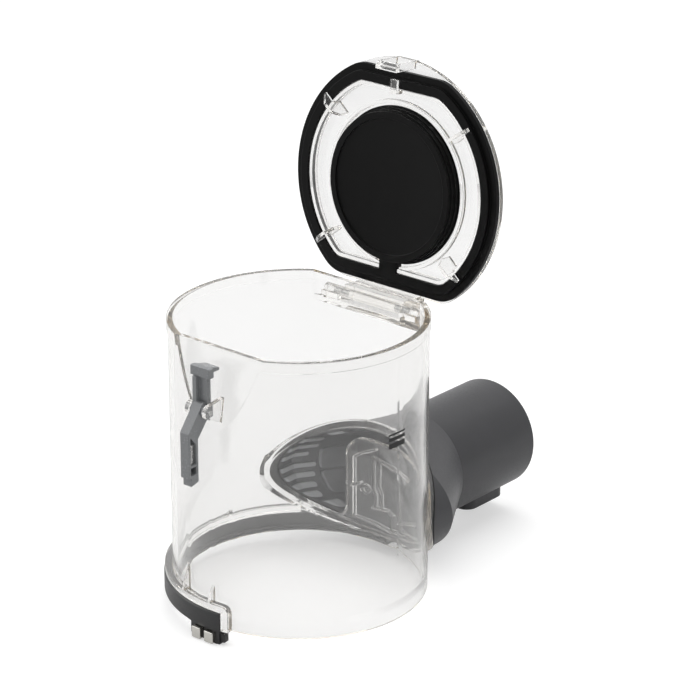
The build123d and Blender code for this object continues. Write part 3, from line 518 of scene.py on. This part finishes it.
# Lid seal. One moulding of black nitrile rubber, with the gasket, the cup and the tab between. It
# is pushed over the spigot and the cup ring of the lid.

rounded_copy("lid_seal", nitrile, 0.25 * MM, "lid", inset=0.04 * MM)

# Pins and spring. The hinge pins and the lever pin are drawn steel wire, cut to length and pressed
# in. The spring is a short leaf of the same steel in the slot of the lever.

# Drawn steel: a grey metal with a soft, slightly streaky shine.
steel, tree = start_material("drawn_steel")
place = add_node(tree, "ShaderNodeTexCoord")
drawn = add_node(
    tree, "ShaderNodeTexNoise", {"Vector": place.outputs["Object"], "Scale": 1 / (0.8 * MM), "Detail": 2.0}
)
gloss = add_node(
    tree,
    "ShaderNodeMapRange",
    {"Value": drawn.outputs["Fac"], "From Min": 0.3, "From Max": 0.7, "To Min": 0.22, "To Max": 0.36},
)
wire_steel = add_node(
    tree,
    "ShaderNodeBsdfPrincipled",
    {"Base Color": linear("#b9b9b8"), "Metallic": 1.0, "Roughness": gloss.outputs["Result"]},
)
add_node(tree, "ShaderNodeOutputMaterial", {"Surface": wire_steel.outputs[0]})
for name in ("hinge_pin_left", "hinge_pin_right", "latch_pin", "latch_spring"):
    dress(name, steel)

# Latch lever. A rocker moulded in mid grey acetal. It turns on its pin between the two lugs of the
# bin, and its nose holds the catch of the lid.

# Grey acetal: smoother than the ABS, so its edges catch the light.
lever_acetal = moulded_abs("grey_acetal", "#808284", "#8a8c8e", 0.24, 0.8)
rounded_copy("latch_lever", lever_acetal, 0.35 * MM, "lever")

# Studio. A pale floor, a broad softbox overhead, and two side panels, with the camera at the
# height and turn of the photograph.

floor_level = -5.8 * MM
floor_mesh = bpy.data.meshes.new("floor")
floor_reach = 4.0
floor_mesh.from_pydata(
    [(x * floor_reach, y * floor_reach, floor_level) for x, y in ((-1, -1), (1, -1), (1, 1), (-1, 1))],
    [],
    [(0, 1, 2, 3)],
)
floor = bpy.data.objects.new("floor", floor_mesh)
bpy.context.scene.collection.objects.link(floor)
# White paper: pale and dull, lifted a little for the eye so that only the soft shadow shows on it.
paper, tree = start_material("white_paper")
path = add_node(tree, "ShaderNodeLightPath")
direct = add_node(tree, "ShaderNodeMath", {0: path.outputs["Is Camera Ray"], 1: 0.5}, operation="MULTIPLY")
mirrored = add_node(
    tree,
    "ShaderNodeMath",
    {0: path.outputs["Is Glossy Ray"], 1: 0.15, 2: direct.outputs[0]},
    operation="MULTIPLY_ADD",
)
lift = add_node(
    tree,
    "ShaderNodeMath",
    {0: path.outputs["Is Transmission Ray"], 1: 0.15, 2: mirrored.outputs[0]},
    operation="MULTIPLY_ADD",
)
matt = add_node(tree, "ShaderNodeBsdfDiffuse", {"Color": linear("#cfcfcf")})
glow = add_node(tree, "ShaderNodeEmission", {"Color": linear("#ffffff"), "Strength": lift.outputs[0]})
both = add_node(tree, "ShaderNodeAddShader", {0: matt.outputs[0], 1: glow.outputs[0]})
add_node(tree, "ShaderNodeOutputMaterial", {"Surface": both.outputs[0]})
floor_mesh.materials.append(paper)

world = bpy.data.worlds.new("studio")
bpy.context.scene.world = world
world.use_nodes = True
world.node_tree.nodes.clear()
tree = world.node_tree
around = add_node(tree, "ShaderNodeTexCoord")
behind = add_node(
    tree,
    "ShaderNodeVectorMath",
    {0: around.outputs["Generated"], 1: (-0.663, 0.749, 0.0)},
    operation="DOT_PRODUCT",
)
backdrop = add_node(
    tree,
    "ShaderNodeMapRange",
    {"Value": behind.outputs["Value"], "From Min": -0.3, "From Max": 0.5, "To Min": 0.4, "To Max": 0.85},
)
path = add_node(tree, "ShaderNodeLightPath")
white = add_node(
    tree,
    "ShaderNodeMath",
    {0: path.outputs["Is Camera Ray"], 1: path.outputs["Is Transmission Ray"]},
    operation="MAXIMUM",
)
level = add_node(
    tree,
    "ShaderNodeMix",
    {0: white.outputs[0], 2: backdrop.outputs["Result"], 3: 1.0},
)
sky = add_node(tree, "ShaderNodeBackground", {"Color": linear("#ffffff"), "Strength": level.outputs[0]})
add_node(tree, "ShaderNodeOutputWorld", {"Surface": sky.outputs[0]})

aim = Vector((0.005, 0.0269, 0.1002))
softboxes = (
    ("overhead", (0.0, 0.2, 1.3), 1.2, 9.0),
    ("left_panel", (-1.2, -0.5, 0.7), 0.9, 6.0),
    ("right_panel", (1.2, 0.3, 0.6), 0.8, 1.5),
)
for name, spot, width, power in softboxes:
    lamp = bpy.data.lights.new(name, "AREA")
    lamp.shape = "SQUARE"
    lamp.size = width
    lamp.energy = power
    box = bpy.data.objects.new(name, lamp)
    box.location = spot
    box.rotation_mode = "QUATERNION"
    box.rotation_quaternion = (aim - Vector(spot)).to_track_quat("-Z", "Y")
    bpy.context.scene.collection.objects.link(box)

eye = Vector((0.8151, -0.9214, 0.5976))
camera = bpy.data.cameras.new("camera")
camera.lens = 163.5
camera.sensor_width = 36.0
viewer = bpy.data.objects.new("camera", camera)
viewer.location = eye
viewer.rotation_mode = "QUATERNION"
viewer.rotation_quaternion = (aim - eye).to_track_quat("-Z", "Y")
bpy.context.scene.collection.objects.link(viewer)
bpy.context.scene.camera = viewer
bpy.context.scene.view_settings.view_transform = "Standard"
cycles = bpy.context.scene.cycles
cycles.max_bounces = 40
cycles.transmission_bounces = 32
cycles.glossy_bounces = 32
